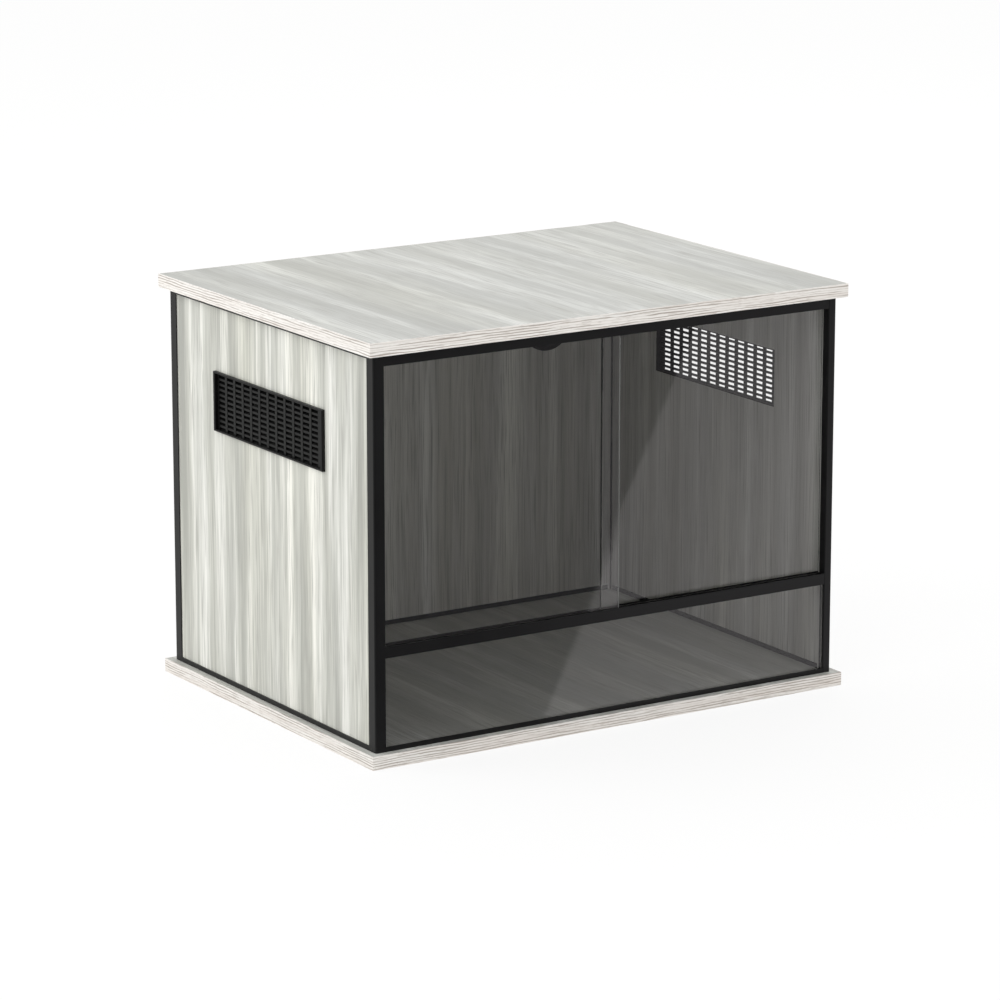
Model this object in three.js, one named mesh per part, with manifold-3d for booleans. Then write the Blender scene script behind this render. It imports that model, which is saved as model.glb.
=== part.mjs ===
// A terrarium cabinet: pale laminated boards and panels in a black powder-coated frame,
// two smoked-glass doors that slide past each other, and a fixed pane below them.
// Millimetres, +Z up. The front faces -Y and the origin is under the middle of the base.

import * as THREE from "three";
import { mergeVertices } from "three/addons/utils/BufferGeometryUtils.js";
import Module from "manifold-3d";

const wasm = await Module();
wasm.setup();

// ---- Boards ----
const boardWidth = 610;
const boardDepth = 457;
const overallHeight = 457;
const boardThickness = 15;
const boardOverhang = 9; // past the frame, on all four sides
const bandThickness = 1;

// ---- Wall panels and the profiles that hold them ----
const panelThickness = 7.5;
const panelSlip = 0.15; // play on each face of a panel in its channel
const panelGap = 0.3; // between a panel's edge and the metal beside or above it
const outerLip = 1.2;
const innerLip = 1;
const railWeb = 1.5;
const railOuterHeight = 5.3;
const railInnerHeight = 7.7;
const flangeReach = 4; // how far a post laps over the panel beside it
const postArris = 2.5; // radius of a post's outer edge
const postInnerArris = 0.8;
const stopLip = 2.5; // lip on the front left post that hides the edge of the glass
const floorThickness = 2.5;

// ---- Glass ----
const glassThickness = 4;
const glassArris = 0.5;
const doorOverlap = 18.4;
const meetingOffset = 3; // middle of the doors' overlap, right of the cabinet's centre
const doorSlip = 0.35; // play on each face of a door in its groove
const doorLift = 0.3; // between a door's lower edge and its track
const doorHold = 5; // how far a door reaches up into the head rail
const doorStopGap = 0.5; // between a door's end and the post
const paneEndGap = 0.4;
const paneHeadGap = 0.2;

// ---- Front rails ----
const frontWall = 1.5;
const rearWall = 1.5;
const sillRearLip = 1.3;
const sillRearHeight = 3.3;
const transomRise = 102; // from the top of the base board to the transom
const paneGroove = 4; // depth of the groove that takes the lower pane
const transomWeb = 4;
const lowerChannel = 4.4; // depth of the channel that the doors stand in
const transomCellWall = 1.3;
const headHeight = 12.5;
const headWeb = 2;
const trackRib = 3.6; // divider between the two door grooves
const trackBase = 1;
const trackSideGap = 0.1;
const ribInset = 0.4; // how far a divider stays inside its channel
const gasketWall = 0.5;
const gasketBase = 0.8;
const gasketSlip = 0.1;
const gasketInset = 0.6; // how far the gasket stays below the sill's front lip

// ---- Side vents ----
const ventLength = 235.6;
const ventHeight = 66.8;
const ventDrop = 109.6; // middle of the vent below the top board
const ventRearward = 0.8; // middle of the vent behind the middle of the cabinet
const ventProud = 3.8; // rim face in front of the panel
const ventEndBar = 4;
const ventLongBar = 2;
const ventChamfer = 0.5;
const ventEndLap = 1.3; // how far the rim laps past the sleeve at its ends
const ventLongLap = 0.9; // and above and below it
const ventSleeveWall = 1;
const ventSleeveGap = 0.3; // between the sleeve and the hole in the panel
const slotColumns = 12;
const slotRows = 11;
const slotEndRoom = 8.6; // length of the mouth that the columns leave over
const slotsRearward = 2.9; // middle of the columns behind the middle of the vent
const uprightRecess = 3.2; // face of the uprights behind the rim face
const uprightWidth = 4.5;
const uprightDepth = 2.1;
const bladeSetback = 0.3; // louvre blades behind the uprights' face
const bladeDepth = 3.4;
const bladeThickness = 2.5;
const bladeAngle = 30; // degrees that a blade falls towards the outside
const bladeRowInset = 1.5; // from the rim's edge to the middle of the outermost blade

// ---- Cable grommet in the rear panel ----
const grommetFromSide = 100.4; // axis inward from the frame's right side
const grommetDrop = 90.1; // axis below the top board
const grommetFlangeRadius = 34.5;
const grommetFlangeThickness = 2.5;
const grommetFlangeRound = 1;
const grommetSleeveRadius = 29.8;
const grommetWall = 2.8;
const grommetPast = 1.5; // how far the sleeve comes out of the back
const grommetHoleGap = 0.5;
const grommetSeatDepth = 1.4; // ledge that the cap stops against
const grommetSeatWidth = 1.6;
const capGap = 0.3;
const capThickness = 2.2;
const capSkirtDepth = 6;
const capSkirtWall = 1.6;
const capRound = 0.6;

// ---- Fasteners ----
const postScrew = { shank: 4, head: 8, length: 38, point: 2, socket: 2.6, socketDepth: 1.8 };
const railScrew = { shank: 2.5, head: 5, length: 13.2, point: 3, socket: 1.6, socketDepth: 0.8 };
const screwSink = 0.1; // head below the face around it
const screwGap = 0.1; // all round a shank
const headGap = 0.15; // all round a countersunk head
const holeEndGap = 0.3;
const cutPast = 0.2; // how far a hole's cutter starts outside the face that it opens in
const keySides = 6;
const dowelDiameter = 4;
const dowelLength = 20;
const dowelChamfer = 0.5;
const pinDiameter = 2.5;
const pinLength = 16;
const pinInPost = 7;
const pinSpacing = 4;
const pinChamfer = 0.4;
const sideScrewSpacing = 230; // between the two screws of a side rail
const wideScrewSpacing = 320; // between the two screws of a front or rear rail

// ---- Facets ----
const arrisSteps = 4;
const boreSides = 12;
const screwSides = 10;
const grommetSides = 36;
const weldDistance = 0.0001;
const grid = 1000; // positions are held to a thousandth, so that faces that touch share a plane

// ---- Sizes that follow ----
const halfWidth = boardWidth / 2 - boardOverhang;
const halfDepth = boardDepth / 2 - boardOverhang;
const bodyBottom = boardThickness;
const bodyTop = overallHeight - boardThickness;
const frameDepth = outerLip + innerLip + panelThickness + 2 * panelSlip;
const panelInset = outerLip + panelSlip; // panel's outer face behind the frame's outer plane
const flangeEnd = frameDepth + flangeReach;
const innerHalfWidth = halfWidth - frameDepth;
const portInset = frameDepth / 2;
const portDiameter = postScrew.shank + 2 * screwGap;
const paneSlot = glassThickness + 2 * (gasketWall + gasketSlip);
const paneInset = frontWall + gasketSlip + gasketWall;
const doorGroove = glassThickness + 2 * doorSlip;
const channelWidth = 2 * doorGroove + trackRib;
const railDepth = frontWall + channelWidth + rearWall;
const transomBottom = bodyBottom + transomRise;
const transomFloor = transomBottom + paneGroove + transomWeb;
const transomTop = transomFloor + lowerChannel;
const headBottom = bodyTop - headHeight;
const headFloor = bodyTop - headWeb;
const frontDoorInset = frontWall + doorSlip;
const rearDoorInset = frontWall + doorGroove + trackRib + doorSlip;

// ---- Places ----
const left = -1;
const right = 1;
const front = -1;
const rear = 1;
const fromSide = (side, inset) => side * (halfWidth - inset);
const fromEnd = (end, inset) => end * (halfDepth - inset);

// ---- Outlines: lists of [across, up] points ----
function rectangle(across, up, halfAcross, halfUp) {
  return [
    [across - halfAcross, up - halfUp],
    [across + halfAcross, up - halfUp],
    [across + halfAcross, up + halfUp],
    [across - halfAcross, up + halfUp],
  ];
}

function span(acrossFrom, acrossTo, upFrom, upTo) {
  return rectangle(
    (acrossFrom + acrossTo) / 2,
    (upFrom + upTo) / 2,
    Math.abs(acrossTo - acrossFrom) / 2,
    Math.abs(upTo - upFrom) / 2,
  );
}

function arc(centre, radius, fromAngle, toAngle, steps) {
  return Array.from({ length: steps + 1 }, (_, i) => {
    const angle = fromAngle + ((toAngle - fromAngle) * i) / steps;
    return [centre[0] + radius * Math.cos(angle), centre[1] + radius * Math.sin(angle)];
  });
}

function circle(across, up, radius, sides) {
  return arc([across, up], radius, 0, 2 * Math.PI, sides).slice(0, sides);
}

// ---- Solids ----
const axisX = new THREE.Vector3(1, 0, 0);
const axisY = new THREE.Vector3(0, 1, 0);
const axisZ = new THREE.Vector3(0, 0, 1);
const extrusionFrames = {
  x: new THREE.Matrix4().makeBasis(axisY, axisZ, axisX), // outline in Y and Z
  y: new THREE.Matrix4().makeBasis(axisX, axisZ, axisY.clone().negate()), // outline in X and Z
  z: new THREE.Matrix4(), // outline in X and Y
};

// A closed mesh with its shared corners merged, as a solid for joining and cutting.
function solidOf(geometry) {
  geometry.deleteAttribute("normal");
  geometry.deleteAttribute("uv");
  const welded = mergeVertices(geometry, weldDistance);
  const corners = welded.index.array;
  const triangles = [];
  for (let i = 0; i < corners.length; i += 3) {
    const [a, b, c] = corners.slice(i, i + 3);
    if (a !== b && b !== c && c !== a) triangles.push(a, b, c);
  }
  return new wasm.Manifold(
    new wasm.Mesh({
      numProp: 3,
      vertProperties: welded.getAttribute("position").array,
      triVerts: new Uint32Array(triangles),
    }),
  );
}

// A straight bar or sheet: an outline with holes, drawn out between two places on an axis.
function bar(axis, outline, from, to, { holes = [], arris = 0 } = {}) {
  const shape = new THREE.Shape(outline.map(([across, up]) => new THREE.Vector2(across, up)));
  for (const hole of holes) {
    shape.holes.push(new THREE.Path(hole.map(([across, up]) => new THREE.Vector2(across, up))));
  }
  const geometry = new THREE.ExtrudeGeometry(shape, {
    depth: to - from - 2 * arris,
    bevelEnabled: arris > 0,
    bevelThickness: arris,
    bevelSize: arris,
    bevelOffset: -arris,
    bevelSegments: 1,
  });
  geometry.translate(0, 0, arris + (axis === "y" ? -to : from));
  geometry.applyMatrix4(extrusionFrames[axis]);
  return solidOf(geometry);
}

// A turned piece: [radius, height] points from the bottom up, spun about its own Z axis.
function turned(profile, sides) {
  const points = profile.map(([radius, height]) => new THREE.Vector2(radius, height));
  const geometry = new THREE.LatheGeometry(points, sides);
  geometry.rotateX(Math.PI / 2);
  return solidOf(geometry);
}

function rod(diameter, bottom, top, sides) {
  return turned([[0, bottom], [diameter / 2, bottom], [diameter / 2, top], [0, top]], sides);
}

const quarterTurn = 90;
const pointAlong = {
  up: (solid) => solid,
  down: (solid) => solid.rotate([2 * quarterTurn, 0, 0]),
  right: (solid) => solid.rotate([0, quarterTurn, 0]),
  left: (solid) => solid.rotate([0, -quarterTurn, 0]),
  rear: (solid) => solid.rotate([-quarterTurn, 0, 0]),
};

const cutAll = (solid, cutters) => cutters.reduce((rest, cutter) => rest.subtract(cutter), solid);
const joinAll = (solids) => solids.reduce((whole, solid) => whole.add(solid));

// ---- Finishes ----
const finish = (color, roughness, metalness) =>
  new THREE.MeshStandardMaterial({ color, roughness, metalness, flatShading: true });
const laminate = finish("#dadbd4", 0.5, 0);
const edgeBand = finish("#d3ccc6", 0.55, 0);
const powderCoat = finish("#1d1d1e", 0.5, 0.4);
const blackPlastic = finish("#1b1b1c", 0.5, 0);
const rubber = finish("#141414", 0.8, 0);
const steel = finish("#9a9c9e", 0.35, 1);
const smokedGlass = finish("#4a4d4d", 0.05, 0);
smokedGlass.transparent = true;
smokedGlass.opacity = 0.35;

// A named mesh from a solid, in its group.
function addPiece(group, name, solid, material) {
  const made = solid.getMesh();
  const positions = Float32Array.from(made.vertProperties, (value) => Math.round(value * grid) / grid);
  const geometry = new THREE.BufferGeometry();
  geometry.setAttribute("position", new THREE.BufferAttribute(positions, made.numProp));
  geometry.setIndex(new THREE.BufferAttribute(made.triVerts, 1));
  geometry.computeVertexNormals();
  const mesh = new THREE.Mesh(geometry, material);
  mesh.name = name;
  group.add(mesh);
  return mesh;
}

// ---- Fasteners: each stands on its tip end, pointing along +Z, with its head face at zero ----
function countersunkScrew({ shank, head, length, point, socket, socketDepth }) {
  const headDepth = (head - shank) / 2;
  const body = turned(
    [
      [0, 0],
      [head / 2, 0],
      [shank / 2, headDepth],
      [shank / 2, length - point],
      [shank / 4, length],
      [0, length],
    ],
    screwSides,
  );
  return body.subtract(rod(socket, -socketDepth, socketDepth, keySides));
}

function chamferedPin(diameter, length, chamfer) {
  return turned(
    [
      [0, 0],
      [diameter / 2 - chamfer, 0],
      [diameter / 2, chamfer],
      [diameter / 2, length - chamfer],
      [diameter / 2 - chamfer, length],
      [0, length],
    ],
    screwSides,
  );
}

// The room that a countersunk screw needs: its hole from the head face to a depth.
function screwHole({ shank, head }, depth) {
  const holeRadius = shank / 2 + screwGap;
  const mouthRadius = head / 2 + headGap;
  const coneDepth = mouthRadius - holeRadius;
  return turned(
    [
      [0, -screwSink - cutPast],
      [mouthRadius, -screwSink - cutPast],
      [mouthRadius, 0],
      [holeRadius, coneDepth],
      [holeRadius, depth],
      [0, depth],
    ],
    boreSides,
  );
}

// Where the screws of the bottom rails stand; those of the top rails stand above them.
const sideScrewPlaces = [left, right].flatMap((side) =>
  [front, rear].map((end) => ({
    x: fromSide(side, frameDepth / 2),
    y: (end * sideScrewSpacing) / 2,
  })),
);
const rearScrewPlaces = [left, right].map((side) => ({
  x: (side * wideScrewSpacing) / 2,
  y: fromEnd(rear, frameDepth / 2),
}));
const sillScrewPlaces = rearScrewPlaces.map(({ x }) => ({
  x,
  y: fromEnd(front, frontWall + paneSlot / 2),
}));
const headScrewPlaces = rearScrewPlaces.map(({ x }) => ({ x, y: fromEnd(front, railDepth / 2) }));
const bottomScrewPlaces = [...sideScrewPlaces, ...rearScrewPlaces, ...sillScrewPlaces];
const portPlaces = [front, rear].flatMap((end) =>
  [left, right].map((side) => ({ x: fromSide(side, portInset), y: fromEnd(end, portInset) })),
);
const pinPlaces = [left, right].flatMap((side) =>
  [-pinSpacing / 2, pinSpacing / 2].map((offset) => ({
    side,
    y: fromEnd(front, frameDepth / 2 + offset),
    z: transomBottom + paneGroove + transomWeb / 2,
  })),
);
const railScrewReach = railScrew.length + holeEndGap;

// Screws in the bottom rails point down from the web, and those in the top rails point up.
function railScrewCutters(places, headZ, direction) {
  return places.map(({ x, y }) =>
    pointAlong[direction](screwHole(railScrew, railScrewReach)).translate([x, y, headZ]),
  );
}
const bottomHeadZ = bodyBottom + railWeb - screwSink;
const topHeadZ = bodyTop - railWeb + screwSink;
const headRailHeadZ = headFloor + screwSink;

// ---- Boards ----
function makeBoard(bottom, cutters) {
  const halfX = boardWidth / 2 - bandThickness;
  const halfY = boardDepth / 2 - bandThickness;
  return cutAll(bar("z", rectangle(0, 0, halfX, halfY), bottom, bottom + boardThickness), cutters);
}

function makeBanding(bottom) {
  const inner = rectangle(0, 0, boardWidth / 2 - bandThickness, boardDepth / 2 - bandThickness);
  const outer = rectangle(0, 0, boardWidth / 2, boardDepth / 2);
  return bar("z", outer, bottom, bottom + boardThickness, { holes: [inner] });
}

function baseBoardCutters() {
  const postHoles = portPlaces.map(({ x, y }) =>
    screwHole(postScrew, boardThickness + screwSink).translate([x, y, screwSink]),
  );
  return [...postHoles, ...railScrewCutters(bottomScrewPlaces, bottomHeadZ, "down")];
}

function topBoardCutters() {
  const dowelHoleDepth = dowelLength / 2 + holeEndGap;
  const dowelHoles = portPlaces.map(({ x, y }) =>
    rod(portDiameter, bodyTop - dowelHoleDepth, bodyTop + dowelHoleDepth, boreSides).translate([x, y, 0]),
  );
  return [
    ...dowelHoles,
    ...railScrewCutters([...sideScrewPlaces, ...rearScrewPlaces], topHeadZ, "up"),
    ...railScrewCutters(headScrewPlaces, headRailHeadZ, "up"),
  ];
}

// ---- Frame ----
// A post's section: insets from the side plane and from the front or rear plane.
function postSection({ stopLipWidth = 0, rearFlange = false }) {
  const arrisCentre = [postArris, postArris];
  const inner = frameDepth;
  const innerEdge = {
    plain: [[inner - postInnerArris, 0], [inner, postInnerArris]],
    lipped: [[inner + stopLipWidth, 0], [inner + stopLipWidth, frontWall], [inner, frontWall]],
    flanged: [[flangeEnd, 0], [flangeEnd, outerLip], [inner, outerLip]],
  };
  let edgeKind = "plain";
  if (stopLipWidth > 0) edgeKind = "lipped";
  if (rearFlange) edgeKind = "flanged";
  return [
    ...arc(arrisCentre, postArris, Math.PI, 1.5 * Math.PI, arrisSteps),
    ...innerEdge[edgeKind],
    [inner, inner],
    [outerLip, inner],
    [outerLip, flangeEnd],
    [0, flangeEnd],
  ];
}

function makePost(side, end, options) {
  const outline = postSection(options).map(([a, b]) => [fromSide(side, a), fromEnd(end, b)]);
  const port = circle(fromSide(side, portInset), fromEnd(end, portInset), portDiameter / 2, boreSides);
  return bar("z", outline, bodyBottom, bodyTop, { holes: [port] });
}

function pinHoles(side) {
  const diameter = pinDiameter + 2 * screwGap;
  return pinPlaces
    .filter((place) => place.side === side)
    .map(({ y, z }) => {
      const hole = rod(diameter, -holeEndGap, pinLength + holeEndGap, boreSides);
      return pinOutwards(hole, side).translate([pinInnerEnd(side), y, z]);
    });
}
const pinInnerEnd = (side) => side * (innerHalfWidth + pinInPost - pinLength);
const pinOutwards = (solid, side) => pointAlong[side === left ? "left" : "right"](solid);

// A channel that holds a panel's edge: [inset, rise] from the outer plane and the board.
const channelSection = [
  [0, 0],
  [0, railOuterHeight],
  [outerLip, railOuterHeight],
  [outerLip, railWeb],
  [frameDepth - innerLip, railWeb],
  [frameDepth - innerLip, railInnerHeight],
  [frameDepth, railInnerHeight],
  [frameDepth, 0],
];

function makeSideRail(side, riseToZ, cutters) {
  const outline = channelSection.map(([inset, rise]) => [fromSide(side, inset), riseToZ(rise)]);
  const reach = halfDepth - flangeEnd;
  return cutAll(bar("y", outline, -reach, reach), cutters);
}

function makeRearRail(riseToZ, cutters) {
  const outline = channelSection.map(([inset, rise]) => [fromEnd(rear, inset), riseToZ(rise)]);
  const reach = halfWidth - flangeEnd;
  return cutAll(bar("x", outline, -reach, reach), cutters);
}
const upFromBase = (rise) => bodyBottom + rise;
const downFromTop = (rise) => bodyTop - rise;

// A rail across the front, coped round the stop lip of the front left post.
function makeFrontRail(section, cutters, holes = []) {
  const place = ([inset, z]) => [fromEnd(front, inset), z];
  const rail = bar("x", section.map(place), -innerHalfWidth, innerHalfWidth, {
    holes: holes.map((hole) => hole.map(place)),
  });
  const lipFace = fromEnd(front, frontWall);
  const cope = bar(
    "z",
    span(-innerHalfWidth - stopLip, -innerHalfWidth + stopLip, lipFace - 2 * frontWall, lipFace),
    bodyBottom - stopLip,
    bodyTop + stopLip,
  );
  return cutAll(rail, [cope, ...cutters]);
}

const sillSection = [
  [0, bodyBottom],
  [frameDepth, bodyBottom],
  [frameDepth, bodyBottom + railWeb],
  [frontWall + paneSlot + sillRearLip, bodyBottom + railWeb],
  [frontWall + paneSlot + sillRearLip, bodyBottom + sillRearHeight],
  [frontWall + paneSlot, bodyBottom + sillRearHeight],
  [frontWall + paneSlot, bodyBottom + railWeb],
  [frontWall, bodyBottom + railWeb],
  [frontWall, bodyBottom + railOuterHeight],
  [0, bodyBottom + railOuterHeight],
];

const transomSection = [
  [0, transomBottom],
  [frontWall, transomBottom],
  [frontWall, transomBottom + paneGroove],
  [frontWall + paneSlot, transomBottom + paneGroove],
  [frontWall + paneSlot, transomBottom],
  [railDepth, transomBottom],
  [railDepth, transomTop],
  [railDepth - rearWall, transomTop],
  [railDepth - rearWall, transomFloor],
  [frontWall, transomFloor],
  [frontWall, transomTop],
  [0, transomTop],
];
const transomCell = span(
  frontWall + paneSlot + transomCellWall,
  railDepth - rearWall,
  transomBottom + transomCellWall,
  transomBottom + paneGroove,
);

const headSection = [
  [0, headBottom],
  [frontWall, headBottom],
  [frontWall, headFloor],
  [railDepth - rearWall, headFloor],
  [railDepth - rearWall, headBottom],
  [railDepth, headBottom],
  [railDepth, bodyTop],
  [0, bodyTop],
];

// A track insert: a strip in the channel with a divider between the two door grooves.
function makeTrack(floorZ, rimZ) {
  const up = Math.sign(rimZ - floorZ);
  const baseZ = floorZ + up * trackBase;
  const ribZ = rimZ - up * ribInset;
  const ribFrom = frontWall + doorGroove;
  const outline = [
    [frontWall + trackSideGap, floorZ],
    [frontWall + trackSideGap, baseZ],
    [ribFrom, baseZ],
    [ribFrom, ribZ],
    [ribFrom + trackRib, ribZ],
    [ribFrom + trackRib, baseZ],
    [railDepth - rearWall - trackSideGap, baseZ],
    [railDepth - rearWall - trackSideGap, floorZ],
  ];
  const placed = outline.map(([inset, z]) => [fromEnd(front, inset), z]);
  return bar("x", placed, -innerHalfWidth, innerHalfWidth);
}

// A rubber channel round one long edge of the lower pane.
function makeGasket(floorZ, baseZ, frontLegZ, rearLegZ) {
  const from = frontWall + gasketSlip;
  const to = frontWall + paneSlot - gasketSlip;
  const outline = [
    [from, floorZ],
    [from, frontLegZ],
    [from + gasketWall, frontLegZ],
    [from + gasketWall, baseZ],
    [to - gasketWall, baseZ],
    [to - gasketWall, rearLegZ],
    [to, rearLegZ],
    [to, floorZ],
  ];
  const placed = outline.map(([inset, z]) => [fromEnd(front, inset), z]);
  return bar("x", placed, -innerHalfWidth + paneEndGap, innerHalfWidth - paneEndGap);
}

// ---- Glass: a sheet standing in the XZ plane, with ground edges ----
function makeGlass(leftX, rightX, bottomZ, topZ, inset) {
  const frontY = fromEnd(front, inset);
  const outline = span(leftX, rightX, bottomZ, topZ);
  return bar("y", outline, frontY, frontY + glassThickness, { arris: glassArris });
}

// ---- Panels ----
const panelBottom = bodyBottom + railWeb;
const panelTop = bodyTop - railWeb - panelGap;
const ventY = ventRearward;
const ventZ = bodyTop - ventDrop;
const sleeveHalfLength = ventLength / 2 - ventEndLap;
const sleeveHalfHeight = ventHeight / 2 - ventLongLap;
const grommetX = halfWidth - grommetFromSide;
const grommetZ = bodyTop - grommetDrop;

function makeSidePanel(side) {
  const reach = halfDepth - frameDepth - panelGap;
  const outline = span(-reach, reach, panelBottom, panelTop);
  const opening = rectangle(
    ventY,
    ventZ,
    sleeveHalfLength + ventSleeveGap,
    sleeveHalfHeight + ventSleeveGap,
  );
  const faces = [fromSide(side, panelInset), fromSide(side, panelInset + panelThickness)];
  return bar("x", outline, Math.min(...faces), Math.max(...faces), { holes: [opening] });
}

function makeRearPanel() {
  const reach = halfWidth - frameDepth - panelGap;
  const outline = span(-reach, reach, panelBottom, panelTop);
  const opening = circle(grommetX, grommetZ, grommetSleeveRadius + grommetHoleGap, grommetSides);
  const outerFace = fromEnd(rear, panelInset);
  return bar("y", outline, outerFace - panelThickness, outerFace, { holes: [opening] });
}

function makeFloor() {
  const halfX = innerHalfWidth - panelGap;
  const halfY = halfDepth - frameDepth - panelGap;
  return bar("z", rectangle(0, 0, halfX, halfY), bodyBottom, bodyBottom + floorThickness);
}

// ---- Vent: a rim round a sleeve through the wall, with louvre blades behind uprights ----
const mouthHalfLength = ventLength / 2 - ventEndBar;
const mouthHalfHeight = ventHeight / 2 - ventLongBar;
const columnPitch = (2 * mouthHalfLength - slotEndRoom) / slotColumns;
const bladePitch = (ventHeight - 2 * bladeRowInset) / slotRows;

// The uprights between the columns, and the wider plates before the first and after the last.
function uprightOutlines() {
  const startY = ventY + slotsRearward - (slotColumns * columnPitch) / 2;
  const endY = startY + slotColumns * columnPitch;
  const low = ventZ - sleeveHalfHeight;
  const high = ventZ + sleeveHalfHeight;
  const between = Array.from({ length: slotColumns - 1 }, (_, i) =>
    rectangle(startY + (i + 1) * columnPitch, ventZ, uprightWidth / 2, sleeveHalfHeight),
  );
  return [
    span(ventY - sleeveHalfLength, startY + uprightWidth / 2, low, high),
    ...between,
    span(endY - uprightWidth / 2, ventY + sleeveHalfLength, low, high),
  ];
}

// Blades that fall towards the outside, so that light comes in but the inside stays hidden.
function louvreBlades(side, frontInset) {
  const rise = bladeDepth * Math.tan(THREE.MathUtils.degToRad(bladeAngle));
  return Array.from({ length: slotRows + 1 }, (_, row) => {
    const z = ventZ + (row - slotRows / 2) * bladePitch - rise / 2;
    const section = [
      [frontInset, z - bladeThickness / 2],
      [frontInset, z + bladeThickness / 2],
      [frontInset + bladeDepth, z + bladeThickness / 2 + rise],
      [frontInset + bladeDepth, z - bladeThickness / 2 + rise],
    ];
    const placed = section.map(([inset, up]) => [fromSide(side, inset), up]);
    return bar("y", placed, ventY - sleeveHalfLength, ventY + sleeveHalfLength);
  });
}

function makeVent(side) {
  // A slice of the vent between two insets from the frame's outer plane.
  const slice = (outline, outerInset, innerInset, options) => {
    const faces = [fromSide(side, outerInset), fromSide(side, innerInset)];
    return bar("x", outline, Math.min(...faces), Math.max(...faces), options);
  };
  const outlineAt = (halfLength, halfHeight) => rectangle(ventY, ventZ, halfLength, halfHeight);
  const rimInset = panelInset - ventProud;
  const uprightInset = rimInset + uprightRecess;
  const sleeveEnd = panelInset + panelThickness;
  const mouth = outlineAt(mouthHalfLength, mouthHalfHeight);
  const outer = outlineAt(ventLength / 2, ventHeight / 2);
  const sleeveOutline = outlineAt(sleeveHalfLength, sleeveHalfHeight);
  const sleeveMouth = outlineAt(sleeveHalfLength - ventSleeveWall, sleeveHalfHeight - ventSleeveWall);
  const core = outlineAt(sleeveHalfLength - ventSleeveWall / 2, sleeveHalfHeight - ventSleeveWall / 2);
  const rimFace = slice(outer, rimInset, panelInset, { holes: [mouth], arris: ventChamfer });
  const rimBase = slice(outer, rimInset + ventChamfer, panelInset, { holes: [mouth] });
  const sleeve = slice(sleeveOutline, rimInset + ventChamfer, sleeveEnd, { holes: [sleeveMouth] });
  const uprights = uprightOutlines().map((outline) =>
    slice(outline, uprightInset, uprightInset + uprightDepth),
  );
  const blades = louvreBlades(side, uprightInset + bladeSetback);
  const grille = joinAll([...uprights, ...blades]).intersect(slice(core, rimInset, sleeveEnd));
  return joinAll([rimFace, rimBase, sleeve, grille]);
}

// ---- Grommet: turned about an axis that points to the rear, from the panel's inner face ----
function makeGrommetLiner() {
  const bore = grommetSleeveRadius - grommetWall;
  const sleeveEnd = panelThickness + grommetPast;
  const flangeFace = -grommetFlangeThickness;
  const round = arc(
    [grommetFlangeRadius - grommetFlangeRound, flangeFace + grommetFlangeRound],
    grommetFlangeRound,
    -Math.PI / 2,
    0,
    arrisSteps,
  );
  const ledge = sleeveEnd - grommetSeatDepth;
  const profile = [
    [bore, flangeFace],
    ...round,
    [grommetFlangeRadius, 0],
    [grommetSleeveRadius, 0],
    [grommetSleeveRadius, sleeveEnd],
    [bore - grommetSeatWidth, sleeveEnd],
    [bore - grommetSeatWidth, ledge],
    [bore, ledge],
    [bore, flangeFace],
  ];
  return placeOnGrommetAxis(turned(profile, grommetSides));
}

function makeGrommetCap() {
  const radius = grommetSleeveRadius - grommetWall - capGap;
  const face = -grommetFlangeThickness;
  const round = arc([radius - capRound, face + capRound], capRound, -Math.PI / 2, 0, arrisSteps);
  const profile = [
    [0, face],
    ...round,
    [radius, face + capSkirtDepth],
    [radius - capSkirtWall, face + capSkirtDepth],
    [radius - capSkirtWall, face + capThickness],
    [0, face + capThickness],
  ];
  return placeOnGrommetAxis(turned(profile, grommetSides));
}

function placeOnGrommetAxis(solid) {
  const innerFace = fromEnd(rear, panelInset + panelThickness);
  return pointAlong.rear(solid).translate([grommetX, innerFace, grommetZ]);
}

// ---- The cabinet ----
const cabinet = new THREE.Group();
cabinet.name = "terrarium_cabinet";
const add = (name, solid, material) => addPiece(cabinet, name, solid, material);

add("base_board", makeBoard(0, baseBoardCutters()), laminate);
add("base_edge_banding", makeBanding(0), edgeBand);
add("top_board", makeBoard(bodyTop, topBoardCutters()), laminate);
add("top_edge_banding", makeBanding(bodyTop), edgeBand);

add("post_front_left", cutAll(makePost(left, front, { stopLipWidth: stopLip }), pinHoles(left)), powderCoat);
add("post_front_right", cutAll(makePost(right, front, {}), pinHoles(right)), powderCoat);
add("post_rear_left", makePost(left, rear, { rearFlange: true }), powderCoat);
add("post_rear_right", makePost(right, rear, { rearFlange: true }), powderCoat);

const sideRailBottomCutters = railScrewCutters(sideScrewPlaces, bottomHeadZ, "down");
const sideRailTopCutters = railScrewCutters(sideScrewPlaces, topHeadZ, "up");
const rearBottomCutters = railScrewCutters(rearScrewPlaces, bottomHeadZ, "down");
const rearTopCutters = railScrewCutters(rearScrewPlaces, topHeadZ, "up");
add("rail_bottom_left", makeSideRail(left, upFromBase, sideRailBottomCutters), powderCoat);
add("rail_bottom_right", makeSideRail(right, upFromBase, sideRailBottomCutters), powderCoat);
add("rail_bottom_rear", makeRearRail(upFromBase, rearBottomCutters), powderCoat);
add("rail_top_left", makeSideRail(left, downFromTop, sideRailTopCutters), powderCoat);
add("rail_top_right", makeSideRail(right, downFromTop, sideRailTopCutters), powderCoat);
add("rail_top_rear", makeRearRail(downFromTop, rearTopCutters), powderCoat);

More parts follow.
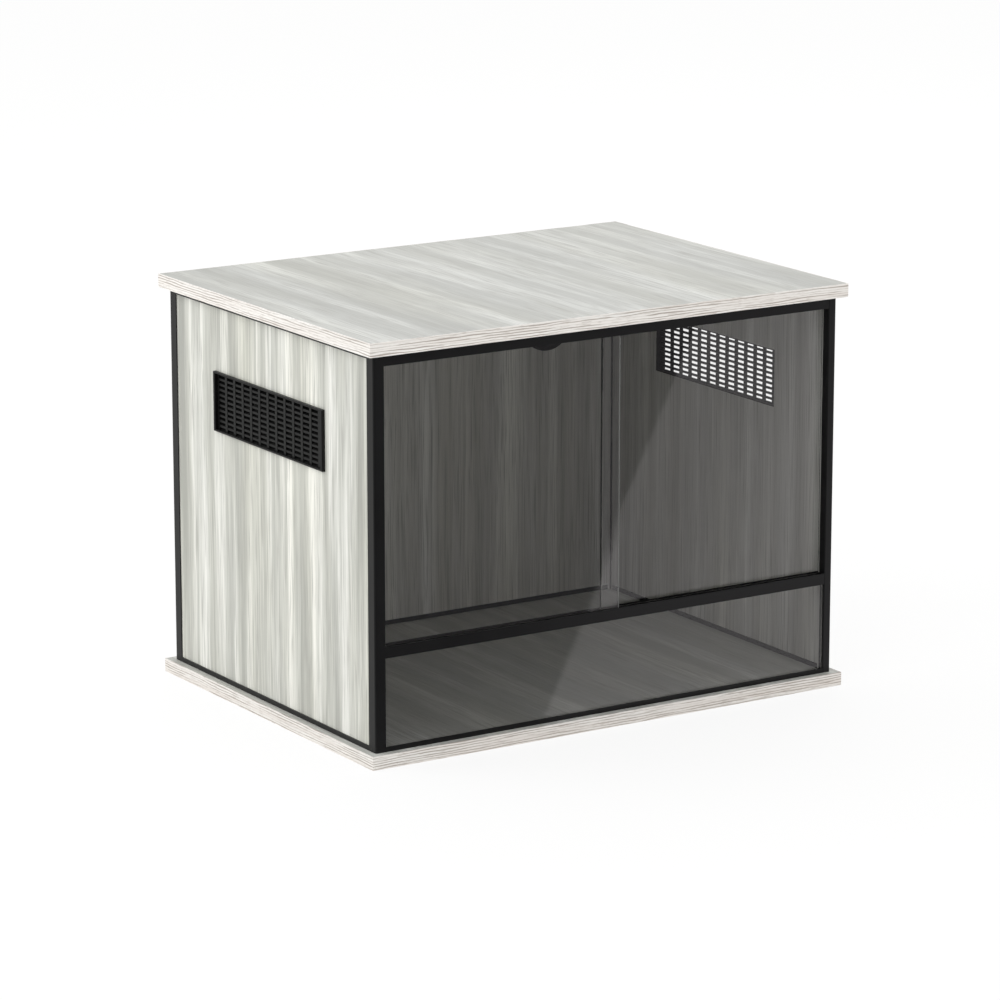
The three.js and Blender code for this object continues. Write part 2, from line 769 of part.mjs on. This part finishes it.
const sillCutters = railScrewCutters(sillScrewPlaces, bottomHeadZ, "down");
const headCutters = railScrewCutters(headScrewPlaces, headRailHeadZ, "up");
const transomCutters = [...pinHoles(left), ...pinHoles(right)];
add("sill_rail", makeFrontRail(sillSection, sillCutters), powderCoat);
add("transom", makeFrontRail(transomSection, transomCutters, [transomCell]), powderCoat);
add("head_rail", makeFrontRail(headSection, headCutters), powderCoat);
add("track_lower", makeTrack(transomFloor, transomTop), blackPlastic);
add("track_upper", makeTrack(headFloor, headBottom), blackPlastic);

add("panel_left", makeSidePanel(left), laminate);
add("panel_right", makeSidePanel(right), laminate);
add("panel_rear", makeRearPanel(), laminate);
add("floor_panel", makeFloor(), laminate);

add("vent_left", makeVent(left), blackPlastic);
add("vent_right", makeVent(right), blackPlastic);
add("grommet_liner", makeGrommetLiner(), blackPlastic);
add("grommet_cap", makeGrommetCap(), blackPlastic);

const sillFloor = bodyBottom + railWeb;
const paneBottom = sillFloor + gasketBase;
const paneTop = transomBottom + paneGroove - gasketBase - paneHeadGap;
const paneEnd = innerHalfWidth - paneEndGap;
add("lower_pane", makeGlass(-paneEnd, paneEnd, paneBottom, paneTop, paneInset), smokedGlass);
add(
  "pane_gasket_lower",
  makeGasket(sillFloor, paneBottom, bodyBottom + railOuterHeight - gasketInset, bodyBottom + sillRearHeight),
  rubber,
);
add(
  "pane_gasket_upper",
  makeGasket(
    transomBottom + paneGroove,
    transomBottom + paneGroove - gasketBase,
    transomBottom + gasketInset,
    transomBottom + gasketInset,
  ),
  rubber,
);

// The two doors slide along X in their own grooves.
const doorBottom = transomFloor + trackBase + doorLift;
const doorTop = headBottom + doorHold;
const doorEnd = innerHalfWidth - doorStopGap;
const leftDoorEdge = meetingOffset + doorOverlap / 2;
const rightDoorEdge = meetingOffset - doorOverlap / 2;
add("door_left", makeGlass(-doorEnd, leftDoorEdge, doorBottom, doorTop, frontDoorInset), smokedGlass);
add("door_right", makeGlass(rightDoorEdge, doorEnd, doorBottom, doorTop, rearDoorInset), smokedGlass);

// Repeated fasteners, each a copy of one solid.
function addFasteners(name, solid, places) {
  const group = new THREE.Group();
  places.forEach(({ x, y, z }, i) => {
    const mesh = addPiece(group, `${name}_${i + 1}`, solid, steel);
    mesh.position.set(x, y, z);
  });
  cabinet.add(group);
}

const atZ = (places, z) => places.map((place) => ({ ...place, z }));
addFasteners("post_screw", countersunkScrew(postScrew), atZ(portPlaces, screwSink));
addFasteners(
  "base_screw",
  pointAlong.down(countersunkScrew(railScrew)),
  atZ(bottomScrewPlaces, bottomHeadZ),
);
addFasteners("top_screw", pointAlong.up(countersunkScrew(railScrew)), [
  ...atZ([...sideScrewPlaces, ...rearScrewPlaces], topHeadZ),
  ...atZ(headScrewPlaces, headRailHeadZ),
]);
addFasteners(
  "top_dowel",
  chamferedPin(dowelDiameter, dowelLength, dowelChamfer),
  atZ(portPlaces, bodyTop - dowelLength / 2),
);
const pinLeftEnd = (side) => Math.min(pinInnerEnd(side), pinInnerEnd(side) + side * pinLength);
addFasteners(
  "transom_pin",
  pointAlong.right(chamferedPin(pinDiameter, pinLength, pinChamfer)),
  pinPlaces.map(({ side, y, z }) => ({ x: pinLeftEnd(side), y, z })),
);

export default cabinet;
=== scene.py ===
import bpy
import math
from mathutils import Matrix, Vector

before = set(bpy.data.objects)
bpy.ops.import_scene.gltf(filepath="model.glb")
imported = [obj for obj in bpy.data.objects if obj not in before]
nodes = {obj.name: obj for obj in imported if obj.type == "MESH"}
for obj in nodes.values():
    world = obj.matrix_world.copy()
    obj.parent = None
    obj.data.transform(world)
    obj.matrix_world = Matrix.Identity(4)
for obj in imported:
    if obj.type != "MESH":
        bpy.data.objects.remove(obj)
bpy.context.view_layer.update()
mm = 0.001
scene = bpy.context.scene
scene.view_settings.view_transform = "Standard"
print("frame loaded with", len(nodes), "nodes")


# Camera, at the photograph's viewing angle
camera = {
    "place": (-2.62722, -4.12234, 1.39395),
    "yaw": 32.4926,      # degrees from +Y towards +X
    "pitch": 13.66,      # degrees below level
    "lens": 162.556,     # mm
    "sensor": 36,        # mm
    "reach": 100,        # metres that it sees
}


def placeCamera(settings):
    yaw, pitch = math.radians(settings["yaw"]), math.radians(settings["pitch"])
    sight = Vector((
        math.sin(yaw) * math.cos(pitch), math.cos(yaw) * math.cos(pitch), -math.sin(pitch)))
    bpy.ops.object.camera_add(
        location=settings["place"], rotation=sight.to_track_quat("-Z", "Y").to_euler())
    view = bpy.context.object
    view.name = "photoCamera"
    view.data.lens = settings["lens"]
    view.data.sensor_width = settings["sensor"]
    view.data.sensor_fit = "HORIZONTAL"
    view.data.clip_end = settings["reach"]
    scene.camera = view


placeCamera(camera)
print("camera placed")


# Colours are written as sRGB hex, and shaders take linear values
def linear(hexColour):
    parts = [int(hexColour[i:i + 2], 16) / 255 for i in (1, 3, 5)]
    return [c / 12.92 if c <= 0.04045 else ((c + 0.055) / 1.055) ** 2.4 for c in parts] + [1]


# Adds one node with its settings, and sets or links its inputs. Stops are for a colour ramp,
# as a place and a hex colour or a grey. A Mix node's colours are inputs 6 and 7 and output 2
def addNode(tree, kind, inputs, stops=(), curve="LINEAR", **settings):
    node = tree.nodes.new(kind)
    for key, value in settings.items():
        setattr(node, key, value)
    for key, value in inputs.items():
        if isinstance(value, bpy.types.NodeSocket):
            tree.links.new(value, node.inputs[key])
        else:
            node.inputs[key].default_value = value
    if stops:
        node.color_ramp.interpolation = curve
        elements = node.color_ramp.elements
        while len(elements) < len(stops):
            elements.new(0.5)
        for element, (place, tone) in zip(elements, stops):
            element.position = place
            element.color = linear(tone) if isinstance(tone, str) else [tone] * 3 + [1]
    return node


def newMaterial(name):
    material = bpy.data.materials.new(name)
    material.use_nodes = True
    material.node_tree.nodes.clear()
    return material, material.node_tree


def setOutput(tree, shader):
    addNode(tree, "ShaderNodeOutputMaterial", {"Surface": shader})


noiseSpan = {"From Min": 0.25, "From Max": 0.75}   # holds nearly all of a noise's values


# Uneven tone, with the size of its spots in mm on each axis. The offset keeps two apart
def mottle(tree, place, size, detail=2.0, roughness=0.5, offset=0.0):
    sized = addNode(tree, "ShaderNodeMapping", {
        "Vector": place, "Location": [offset] * 3, "Scale": [1 / (s * mm) for s in size]})
    return addNode(tree, "ShaderNodeTexNoise", {
        "Vector": sized.outputs["Vector"], "Scale": 1.0,
        "Detail": detail, "Roughness": roughness}).outputs["Fac"]


# Laminate: melamine paper with a printed wood grain, pressed on board. It shows pale washed
# bands with thin grey fibres, and has a soft satin gloss from its fine pressed texture
laminate = {
    "dark": "#a8a9a2",
    "middle": "#cacbc3",
    "pale": "#eeeee7",
    "cream": "#f2edda",       # the warm and the cool tint
    "violet": "#eae9ee",
    "fibre": "#9d9c96",
    "bandWidth": 24,          # mm across the grain
    "streakWidth": 6,
    "fibreWidth": 1.3,        # coarser than the real print's, so that it shows
    "tintWidth": 60,
    "length": 620,            # mm along the grain, of the bands and tints
    "streakLength": 0.5,      # as a share of that
    "fibreLength": 0.125,
    "bandShare": 0.58,        # share of the bands in the tone, with the rest for the streaks
    "contrast": 0.125,        # half the span of noise from dark to pale, less is stronger
    "tint": 0.22,
    "tintSpan": (-0.5, 1.0),  # from violet to cream
    "fibreStops": [(0.3, 0.8), (0.5, 0.0)],
    "sway": 6,                # mm that the grain wanders
    "swayLength": 200,        # mm from bend to bend
    "roughness": (0.42, 0.56),
    "gloss": 0.35,
    "textureDepth": 0.05,     # mm
    "textureStrength": 0.6,
}


def makeLaminate(name, grain, settings):
    material, tree = newMaterial(name)
    place = addNode(tree, "ShaderNodeTexCoord", {}).outputs["Object"]

    def size(across, along):
        return [along if axis == grain else across for axis in "xyz"]

    # the print wanders a little from a straight line
    bends = addNode(tree, "ShaderNodeTexNoise", {
        "Vector": place, "Scale": 1 / (settings["swayLength"] * mm), "Detail": 1.0})
    shift = addNode(tree, "ShaderNodeVectorMath", {
        0: bends.outputs["Color"], 1: (0.5, 0.5, 0.5)}, operation="SUBTRACT")
    swayed = addNode(tree, "ShaderNodeVectorMath", {
        0: shift.outputs[0], 1: [settings["sway"] * mm] * 3, 2: place},
        operation="MULTIPLY_ADD").outputs[0]

    length = settings["length"]
    bandSize = size(settings["bandWidth"], length)
    streakSize = size(settings["streakWidth"], length * settings["streakLength"])
    fibreSize = size(settings["fibreWidth"], length * settings["fibreLength"])
    tintSize = size(settings["tintWidth"], length)
    bands = mottle(tree, swayed, bandSize, detail=1.5, roughness=0.45, offset=3.1)
    streaks = mottle(tree, swayed, streakSize, detail=4.0, roughness=0.72, offset=7.7)
    fibres = mottle(tree, swayed, fibreSize, offset=1.3)
    tints = mottle(tree, swayed, tintSize, offset=11.9)

    bandPart = addNode(tree, "ShaderNodeMath", {
        0: bands, 1: settings["bandShare"]}, operation="MULTIPLY").outputs[0]
    mixed = addNode(tree, "ShaderNodeMath", {
        0: streaks, 1: 1 - settings["bandShare"], 2: bandPart}, operation="MULTIPLY_ADD").outputs[0]
    half = settings["contrast"]
    tone = addNode(tree, "ShaderNodeValToRGB", {"Fac": mixed}, stops=[
        (0.5 - half, settings["dark"]), (0.5, settings["middle"]),
        (0.5 + half, settings["pale"])]).outputs["Color"]

    coolest, warmest = settings["tintSpan"]
    warmth = addNode(tree, "ShaderNodeMapRange", {
        **noiseSpan, "Value": tints, "To Min": coolest, "To Max": warmest}).outputs["Result"]
    tinted = addNode(tree, "ShaderNodeMix", {
        0: warmth, 6: linear(settings["violet"]), 7: linear(settings["cream"])},
        data_type="RGBA").outputs[2]
    tone = addNode(tree, "ShaderNodeMix", {
        0: settings["tint"], 6: tone, 7: tinted},
        data_type="RGBA", blend_type="MULTIPLY").outputs[2]
    fibreShare = addNode(
        tree, "ShaderNodeValToRGB", {"Fac": fibres}, stops=settings["fibreStops"]).outputs["Color"]
    tone = addNode(tree, "ShaderNodeMix", {
        0: fibreShare, 6: tone, 7: linear(settings["fibre"])}, data_type="RGBA").outputs[2]

    smoothest, roughest = settings["roughness"]
    roughness = addNode(tree, "ShaderNodeMapRange", {
        **noiseSpan, "Value": fibres, "To Min": smoothest, "To Max": roughest}).outputs["Result"]
    texture = addNode(tree, "ShaderNodeBump", {
        "Height": fibres, "Distance": settings["textureDepth"] * mm,
        "Strength": settings["textureStrength"]}).outputs["Normal"]
    shader = addNode(tree, "ShaderNodeBsdfPrincipled", {
        "Base Color": tone, "Roughness": roughness,
        "Specular IOR Level": settings["gloss"], "Normal": texture})
    setOutput(tree, shader.outputs["BSDF"])
    return material


# The left wall's print, the plainer print of the walls behind the glass, and the boards' print
uprightLaminate = makeLaminate("laminateUprightGrain", "z", laminate)
calmLaminate = makeLaminate("laminateCalmUprightGrain", "z", {
    **laminate, "dark": "#b6b4b0", "middle": "#d2d1cd", "pale": "#f3f3ee",
    "contrast": 0.2, "tint": 0.25, "length": 800})
boardLaminate = makeLaminate("laminateFrontToBackGrain", "y", {
    **laminate, "dark": "#acada8", "middle": "#bebfba", "pale": "#dfe0db",
    "contrast": 0.2, "tint": 0.2, "length": 520, "bandWidth": 30, "streakWidth": 8, "sway": 8})
print("laminate made")


# Edge banding: ABS strip, embossed and printed with thin warm lines that run along it
banding = {
    "ground": "#edebe7",
    "blush": "#e3ddd7",
    "line": "#9b9087",
    "fleck": "#bab2aa",
    "pitch": 2.8,             # mm between the lines
    "waveStep": 0.314,        # metres between a Wave texture's bands at a scale of 1
    "pull": 0.12,             # under 1 draws the lines' bends out along the strip
    "waver": 5.0,
    "waverDetail": 2.5,
    "waverScale": 1.2,
    "lineStops": [(0.5, 0.0), (0.95, 0.85)],
    "faintSize": (90, 90, 4),       # mm, of the places where the lines fade
    "faintStops": [(0.4, 0.2), (0.56, 1.0)],
    "blushSize": (144, 144, 6),
    "fleckSize": (14, 14, 0.9),
    "fleckStops": [(0.32, 0.6), (0.48, 0.0)],
    "roughness": 0.5,
    "gloss": 0.35,
    "embossDepth": -0.03,     # mm, below the surface at the lines
    "embossStrength": 0.5,
}


def makeBanding(settings):
    material, tree = newMaterial("edgeBandingPrint")
    place = addNode(tree, "ShaderNodeTexCoord", {}).outputs["Object"]
    pulled = addNode(tree, "ShaderNodeMapping", {
        "Vector": place, "Scale": (settings["pull"], settings["pull"], 1.0)}).outputs["Vector"]
    lines = addNode(tree, "ShaderNodeTexWave", {
        "Vector": pulled, "Scale": settings["waveStep"] / (settings["pitch"] * mm),
        "Distortion": settings["waver"], "Detail": settings["waverDetail"],
        "Detail Scale": settings["waverScale"]},
        wave_type="BANDS", bands_direction="Z").outputs["Fac"]
    faint = mottle(tree, place, settings["faintSize"], detail=3.0, roughness=0.6, offset=2.2)
    soft = mottle(tree, place, settings["blushSize"], detail=1.0, offset=5.4)
    specks = mottle(tree, place, settings["fleckSize"], roughness=0.6, offset=8.8)

    lineTone = addNode(tree, "ShaderNodeValToRGB", {"Fac": lines},
                       stops=settings["lineStops"], curve="EASE").outputs["Color"]
    fade = addNode(tree, "ShaderNodeValToRGB", {"Fac": faint},
                   stops=settings["faintStops"], curve="EASE").outputs["Color"]
    fleckShare = addNode(tree, "ShaderNodeValToRGB", {"Fac": specks},
                         stops=settings["fleckStops"], curve="EASE").outputs["Color"]
    lineShare = addNode(
        tree, "ShaderNodeMath", {0: lineTone, 1: fade}, operation="MULTIPLY").outputs[0]
    blushShare = addNode(tree, "ShaderNodeMapRange", {
        **noiseSpan, "Value": soft, "To Min": 0.0, "To Max": 1.0}).outputs["Result"]

    tone = addNode(tree, "ShaderNodeMix", {
        0: blushShare, 6: linear(settings["ground"]), 7: linear(settings["blush"])},
        data_type="RGBA").outputs[2]
    tone = addNode(tree, "ShaderNodeMix", {
        0: fleckShare, 6: tone, 7: linear(settings["fleck"])}, data_type="RGBA").outputs[2]
    tone = addNode(tree, "ShaderNodeMix", {
        0: lineShare, 6: tone, 7: linear(settings["line"])}, data_type="RGBA").outputs[2]
    emboss = addNode(tree, "ShaderNodeBump", {
        "Height": lines, "Distance": settings["embossDepth"] * mm,
        "Strength": settings["embossStrength"]}).outputs["Normal"]
    shader = addNode(tree, "ShaderNodeBsdfPrincipled", {
        "Base Color": tone, "Roughness": settings["roughness"],
        "Specular IOR Level": settings["gloss"], "Normal": emboss})
    setOutput(tree, shader.outputs["BSDF"])
    return material


edgeBanding = makeBanding(banding)


# Powder coat: satin black, baked on extruded aluminium, with a fine orange peel. The peel of
# this and the next two is coarser than the real one, so that it shows
powderCoat = {
    "colour": "#0d0d0e",
    "paler": "#131314",
    "roughness": (0.34, 0.44),
    "gloss": 0.34,
    "peel": 0.7,              # mm from bump to bump
    "peelDepth": 0.012,       # mm
    "peelStrength": 0.5,
    "cloudSize": 60,          # mm, of the slow changes in tone and gloss
}
# Black ABS of the vents, tracks and grommet, moulded in a tool with a spark-eroded grain
mouldedPlastic = {
    **powderCoat, "colour": "#090909", "paler": "#0f0f0f", "roughness": (0.36, 0.46),
    "gloss": 0.24, "peel": 0.35, "peelDepth": 0.015}
# Glazing rubber, extruded, dull and slightly dusty
extrudedRubber = {
    **powderCoat, "colour": "#141414", "paler": "#232322", "roughness": (0.7, 0.85),
    "gloss": 0.3, "peel": 0.5, "peelDepth": 0.03}


def makeBlack(name, settings):
    material, tree = newMaterial(name)
    place = addNode(tree, "ShaderNodeTexCoord", {}).outputs["Object"]
    grain = mottle(tree, place, [settings["peel"]] * 3)
    cloud = mottle(tree, place, [settings["cloudSize"]] * 3, detail=3.0, offset=4.0)
    paleness = addNode(tree, "ShaderNodeMapRange", {
        **noiseSpan, "Value": cloud, "To Min": 0.0, "To Max": 1.0}).outputs["Result"]
    tone = addNode(tree, "ShaderNodeMix", {
        0: paleness, 6: linear(settings["colour"]), 7: linear(settings["paler"])},
        data_type="RGBA").outputs[2]
    smoothest, roughest = settings["roughness"]
    roughness = addNode(tree, "ShaderNodeMapRange", {
        **noiseSpan, "Value": cloud, "To Min": smoothest, "To Max": roughest}).outputs["Result"]
    peel = addNode(tree, "ShaderNodeBump", {
        "Height": grain, "Distance": settings["peelDepth"] * mm,
        "Strength": settings["peelStrength"]}).outputs["Normal"]
    shader = addNode(tree, "ShaderNodeBsdfPrincipled", {
        "Base Color": tone, "Roughness": roughness,
        "Specular IOR Level": settings["gloss"], "Normal": peel})
    setOutput(tree, shader.outputs["BSDF"])
    return material


blackCoat = makeBlack("satinBlackPowderCoat", powderCoat)
blackPlastic = makeBlack("grainedBlackPlastic", mouldedPlastic)
blackRubber = makeBlack("glazingRubber", extrudedRubber)


# Zinc plate on the turned steel of the screws and pins: bright, with dull spots and fine rings
zincPlate = {
    "colour": "#c3c5c9",
    "dull": "#a9a8a4",
    "roughness": (0.28, 0.42),
    "spotSize": (1.5, 1.5, 1.5),   # mm
    "ringSize": (3, 3, 0.15),
    "ringDepth": 0.01,
    "ringStrength": 0.5,
}


def makeZinc(settings):
    material, tree = newMaterial("zincPlatedSteel")
    place = addNode(tree, "ShaderNodeTexCoord", {}).outputs["Object"]
    spots = mottle(tree, place, settings["spotSize"], detail=3.0, roughness=0.6)
    rings = mottle(tree, place, settings["ringSize"])
    dullness = addNode(tree, "ShaderNodeMapRange", {
        **noiseSpan, "Value": spots, "To Min": 0.0, "To Max": 1.0}).outputs["Result"]
    tone = addNode(tree, "ShaderNodeMix", {
        0: dullness, 6: linear(settings["colour"]), 7: linear(settings["dull"])},
        data_type="RGBA").outputs[2]
    smoothest, roughest = settings["roughness"]
    roughness = addNode(tree, "ShaderNodeMapRange", {
        **noiseSpan, "Value": spots, "To Min": smoothest, "To Max": roughest}).outputs["Result"]
    turned = addNode(tree, "ShaderNodeBump", {
        "Height": rings, "Distance": settings["ringDepth"] * mm,
        "Strength": settings["ringStrength"]}).outputs["Normal"]
    shader = addNode(tree, "ShaderNodeBsdfPrincipled", {
        "Base Color": tone, "Metallic": 1.0, "Roughness": roughness, "Normal": turned})
    setOutput(tree, shader.outputs["BSDF"])
    return material


zincSteel = makeZinc(zincPlate)
print("banding, coats and metal made")


# Smoked glass: float glass, nearly clear to look through, that keeps more than half of the
# room's light out of the cabinet. The front door's upright edges are ground and show pale,
# and the other panes' edges are polished
smokedGlass = {
    "tint": "#f6f6f6",
    "lampTint": "#d1d1d1",    # what each face lets through of the lamps and the room
    "ior": 1.5,
    "edge": "#b4b6b5",
    "edgeStart": 0.9,         # the sideways part of the normal, past which a face is an edge
    "edgeShine": 0.5,         # share of the frost that lets light through
    "ground": 0.85,           # share of frost on a ground edge
    "polished": 0.0,
}


def makeGlass(name, edgeShare, settings):
    material, tree = newMaterial(name)
    path = addNode(tree, "ShaderNodeLightPath", {})
    glass = addNode(tree, "ShaderNodeBsdfPrincipled", {
        "Base Color": linear(settings["tint"]), "Roughness": 0.0,
        "IOR": settings["ior"], "Transmission Weight": 1.0}).outputs["BSDF"]

    # ground edges, found by their normal
    normal = addNode(tree, "ShaderNodeNewGeometry", {}).outputs["Normal"]
    sideways = addNode(tree, "ShaderNodeSeparateXYZ", {0: normal}).outputs["X"]
    sidewaysSize = addNode(
        tree, "ShaderNodeMath", {0: sideways}, operation="ABSOLUTE").outputs[0]
    onEdge = addNode(tree, "ShaderNodeMath", {
        0: sidewaysSize, 1: settings["edgeStart"]}, operation="GREATER_THAN").outputs[0]
    frostShare = addNode(
        tree, "ShaderNodeMath", {0: onEdge, 1: edgeShare}, operation="MULTIPLY").outputs[0]
    edgeColour = linear(settings["edge"])
    matt = addNode(tree, "ShaderNodeBsdfDiffuse", {"Color": edgeColour}).outputs["BSDF"]
    lit = addNode(tree, "ShaderNodeBsdfTranslucent", {"Color": edgeColour}).outputs["BSDF"]
    frost = addNode(tree, "ShaderNodeMixShader", {
        0: settings["edgeShine"], 1: matt, 2: lit}).outputs["Shader"]
    sheet = addNode(tree, "ShaderNodeMixShader", {
        0: frostShare, 1: glass, 2: frost}).outputs["Shader"]

    # the light that reaches the inside passes straight through, dimmed
    clear = addNode(tree, "ShaderNodeBsdfTransparent", {
        "Color": linear(settings["lampTint"])}).outputs["BSDF"]
    bounced = addNode(tree, "ShaderNodeMixShader", {
        0: path.outputs["Is Diffuse Ray"], 1: sheet, 2: clear}).outputs["Shader"]
    shown = addNode(tree, "ShaderNodeMixShader", {
        0: path.outputs["Is Shadow Ray"], 1: bounced, 2: clear}).outputs["Shader"]
    setOutput(tree, shown)
    return material


groundGlass = makeGlass("smokedGlassGroundEdge", smokedGlass["ground"], smokedGlass)
polishedGlass = makeGlass("smokedGlassPolishedEdge", smokedGlass["polished"], smokedGlass)
print("glass made")


# Finishes, by the start of the nodes' names. The last that fits a node holds
finishes = [
    (boardLaminate, ("top_board", "base_board", "floor_panel")),
    (uprightLaminate, ("panel_left",)),
    (calmLaminate, ("panel_right", "panel_rear")),
    (edgeBanding, ("top_edge", "base_edge")),
    (blackCoat, ("post_front", "post_rear", "rail_", "sill_", "head_", "transom")),
    (blackPlastic, ("vent_", "grommet_", "track_")),
    (blackRubber, ("pane_gasket",)),
    (groundGlass, ("door_left",)),
    (polishedGlass, ("door_right", "lower_pane")),
    (zincSteel, ("post_screw", "base_screw", "top_screw", "top_dowel", "transom_pin")),
]
for material, starts in finishes:
    for name in nodes:
        if name.startswith(starts):
            for slot in nodes[name].material_slots:
                slot.material = material
print("nodes dressed")


# Stage: a white floor that keeps the cabinet's soft shadow. For gloss it carries a painted
# reflection: it glows dark before a straight edge and pale beyond it and behind, so that the glass
# shows a painted split of light and dark
stage = {
    "floorSize": 60,          # metres
    "floorColour": "#fbfbfa",
    "glow": 0.85,             # share of plain white that the camera sees in the floor
    # painted reflection: the next three are glows that only gloss sees, pale beyond the edge, dark
    # before it, and pale beside and behind
    "paintedPaleReflection": "#d0cdce",       # what gloss sees of the floor's white part in front
    "paintedDarkReflection": "#757375",       # and of the part before its edge
    "paintedRearReflection": "#dededc",   # and of the floor beside and behind
    "frontLine": -0.25,       # where the front ends, in metres
    "edgePoint": (-0.014, -0.312),
    "edgeAcross": (0.771, 0.637),   # unit direction that points into the white part
    "edgeBlur": 0.003,
}
white = (1, 1, 1, 1)


def makeFloor(settings):
    bpy.ops.mesh.primitive_plane_add(size=settings["floorSize"], location=(0, 0, 0))
    floor = bpy.context.object
    floor.name = "studioFloor"
    material, tree = newMaterial("studioFloorPaintWithPaintedReflection")
    path = addNode(tree, "ShaderNodeLightPath", {})
    place = addNode(tree, "ShaderNodeTexCoord", {}).outputs["Object"]

    # painted reflection, what gloss sees: two tones in front, split at the edge, and one behind
    pointX, pointY = settings["edgePoint"]
    acrossX, acrossY = settings["edgeAcross"]
    start = pointX * acrossX + pointY * acrossY
    along = addNode(tree, "ShaderNodeVectorMath", {
        0: place, 1: (acrossX, acrossY, 0)}, operation="DOT_PRODUCT").outputs["Value"]
    side = addNode(tree, "ShaderNodeMapRange", {
        "Value": along, "From Min": start - settings["edgeBlur"],
        "From Max": start + settings["edgeBlur"]}).outputs["Result"]
    front = addNode(tree, "ShaderNodeMix", {
        0: side, 6: linear(settings["paintedDarkReflection"]), 7: linear(settings["paintedPaleReflection"])},
        data_type="RGBA").outputs[2]
    rear = addNode(tree, "ShaderNodeMix", {
        0: path.outputs["Is Transmission Ray"], 6: linear(settings["paintedRearReflection"]), 7: white},
        data_type="RGBA").outputs[2]
    depth = addNode(tree, "ShaderNodeSeparateXYZ", {0: place}).outputs["Y"]
    behind = addNode(tree, "ShaderNodeMath", {
        0: depth, 1: settings["frontLine"]}, operation="GREATER_THAN").outputs[0]
    gloss = addNode(tree, "ShaderNodeMix", {
        0: behind, 6: front, 7: rear}, data_type="RGBA").outputs[2]

    # the camera sees paint with its shadow, and rays through the glass see plain white
    paint = addNode(tree, "ShaderNodeBsdfDiffuse", {
        "Color": linear(settings["floorColour"])}).outputs["BSDF"]
    plain = addNode(tree, "ShaderNodeEmission", {"Color": white, "Strength": 1.0}).outputs[0]
    # painted reflection: the floor glows in these tones for gloss rays only, though it is no lamp
    paintedReflectionGlow = addNode(tree, "ShaderNodeEmission", {"Color": gloss, "Strength": 1.0}).outputs[0]
    glow = addNode(tree, "ShaderNodeMath", {
        0: path.outputs["Is Camera Ray"], 1: settings["glow"]}, operation="MULTIPLY").outputs[0]
    seen = addNode(tree, "ShaderNodeMixShader", {0: glow, 1: paint, 2: plain}).outputs[0]
    through = addNode(tree, "ShaderNodeMixShader", {
        0: path.outputs["Is Transmission Ray"], 1: seen, 2: plain}).outputs[0]
    shown = addNode(tree, "ShaderNodeMixShader", {
        0: path.outputs["Is Glossy Ray"], 1: through, 2: paintedReflectionGlow}).outputs[0]
    setOutput(tree, shown)
    floor.data.materials.append(material)


makeFloor(stage)
print("stage set")


# Light: an even white room, and three large soft lamps that are too dim to clip
lights = {
    "room": 0.92,
    "roomGloss": (0.22, 0.7),     # what gloss sees of the room in front and behind
    "glossTurn": (-0.35, 0.15),   # directions along Y between which the one turns to the other
    "target": (0, 0, 0.2),        # where the lamps point
    "lamps": [
        {"name": "keyLamp", "place": (-3.2, -2.2, 3.4), "size": 2.6, "power": 34},
        {"name": "sideLamp", "place": (-1.5, 0.9, 1.5), "size": 1.0, "power": 9},
        {"name": "rearLamp", "place": (2.4, 2.6, 3.0), "size": 2.4, "power": 25},
    ],
}


def lightRoom(settings):
    room = bpy.data.worlds.new("studioRoom")
    scene.world = room
    room.use_nodes = True
    tree = room.node_tree
    tree.nodes.clear()
    path = addNode(tree, "ShaderNodeLightPath", {})
    heading = addNode(tree, "ShaderNodeTexCoord", {}).outputs["Generated"]
    depth = addNode(tree, "ShaderNodeSeparateXYZ", {0: heading}).outputs["Y"]
    turnStart, turnEnd = settings["glossTurn"]
    frontGloss, rearGloss = settings["roomGloss"]
    glossTone = addNode(tree, "ShaderNodeMapRange", {
        "Value": depth, "From Min": turnStart, "From Max": turnEnd,
        "To Min": frontGloss, "To Max": rearGloss}).outputs["Result"]
    light = addNode(tree, "ShaderNodeBackground", {
        "Color": white, "Strength": settings["room"]}).outputs[0]
    gloss = addNode(tree, "ShaderNodeBackground", {
        "Color": white, "Strength": glossTone}).outputs[0]
    plain = addNode(tree, "ShaderNodeBackground", {"Color": white, "Strength": 1.0}).outputs[0]
    lit = addNode(tree, "ShaderNodeMixShader", {
        0: path.outputs["Is Glossy Ray"], 1: light, 2: gloss}).outputs[0]
    seen = addNode(tree, "ShaderNodeMath", {
        0: path.outputs["Is Camera Ray"], 1: path.outputs["Is Transmission Ray"]},
        operation="MAXIMUM").outputs[0]
    shown = addNode(tree, "ShaderNodeMixShader", {0: seen, 1: lit, 2: plain}).outputs[0]
    addNode(tree, "ShaderNodeOutputWorld", {"Surface": shown})


def placeLamps(settings):
    for lamp in settings["lamps"]:
        aim = Vector(settings["target"]) - Vector(lamp["place"])
        bpy.ops.object.light_add(
            type="AREA", location=lamp["place"], rotation=aim.to_track_quat("-Z", "Y").to_euler())
        made = bpy.context.object
        made.name = lamp["name"]
        made.data.size = lamp["size"]
        made.data.energy = lamp["power"]
        made.visible_camera = False


lightRoom(lights)
placeLamps(lights)
print("room and lamps set")
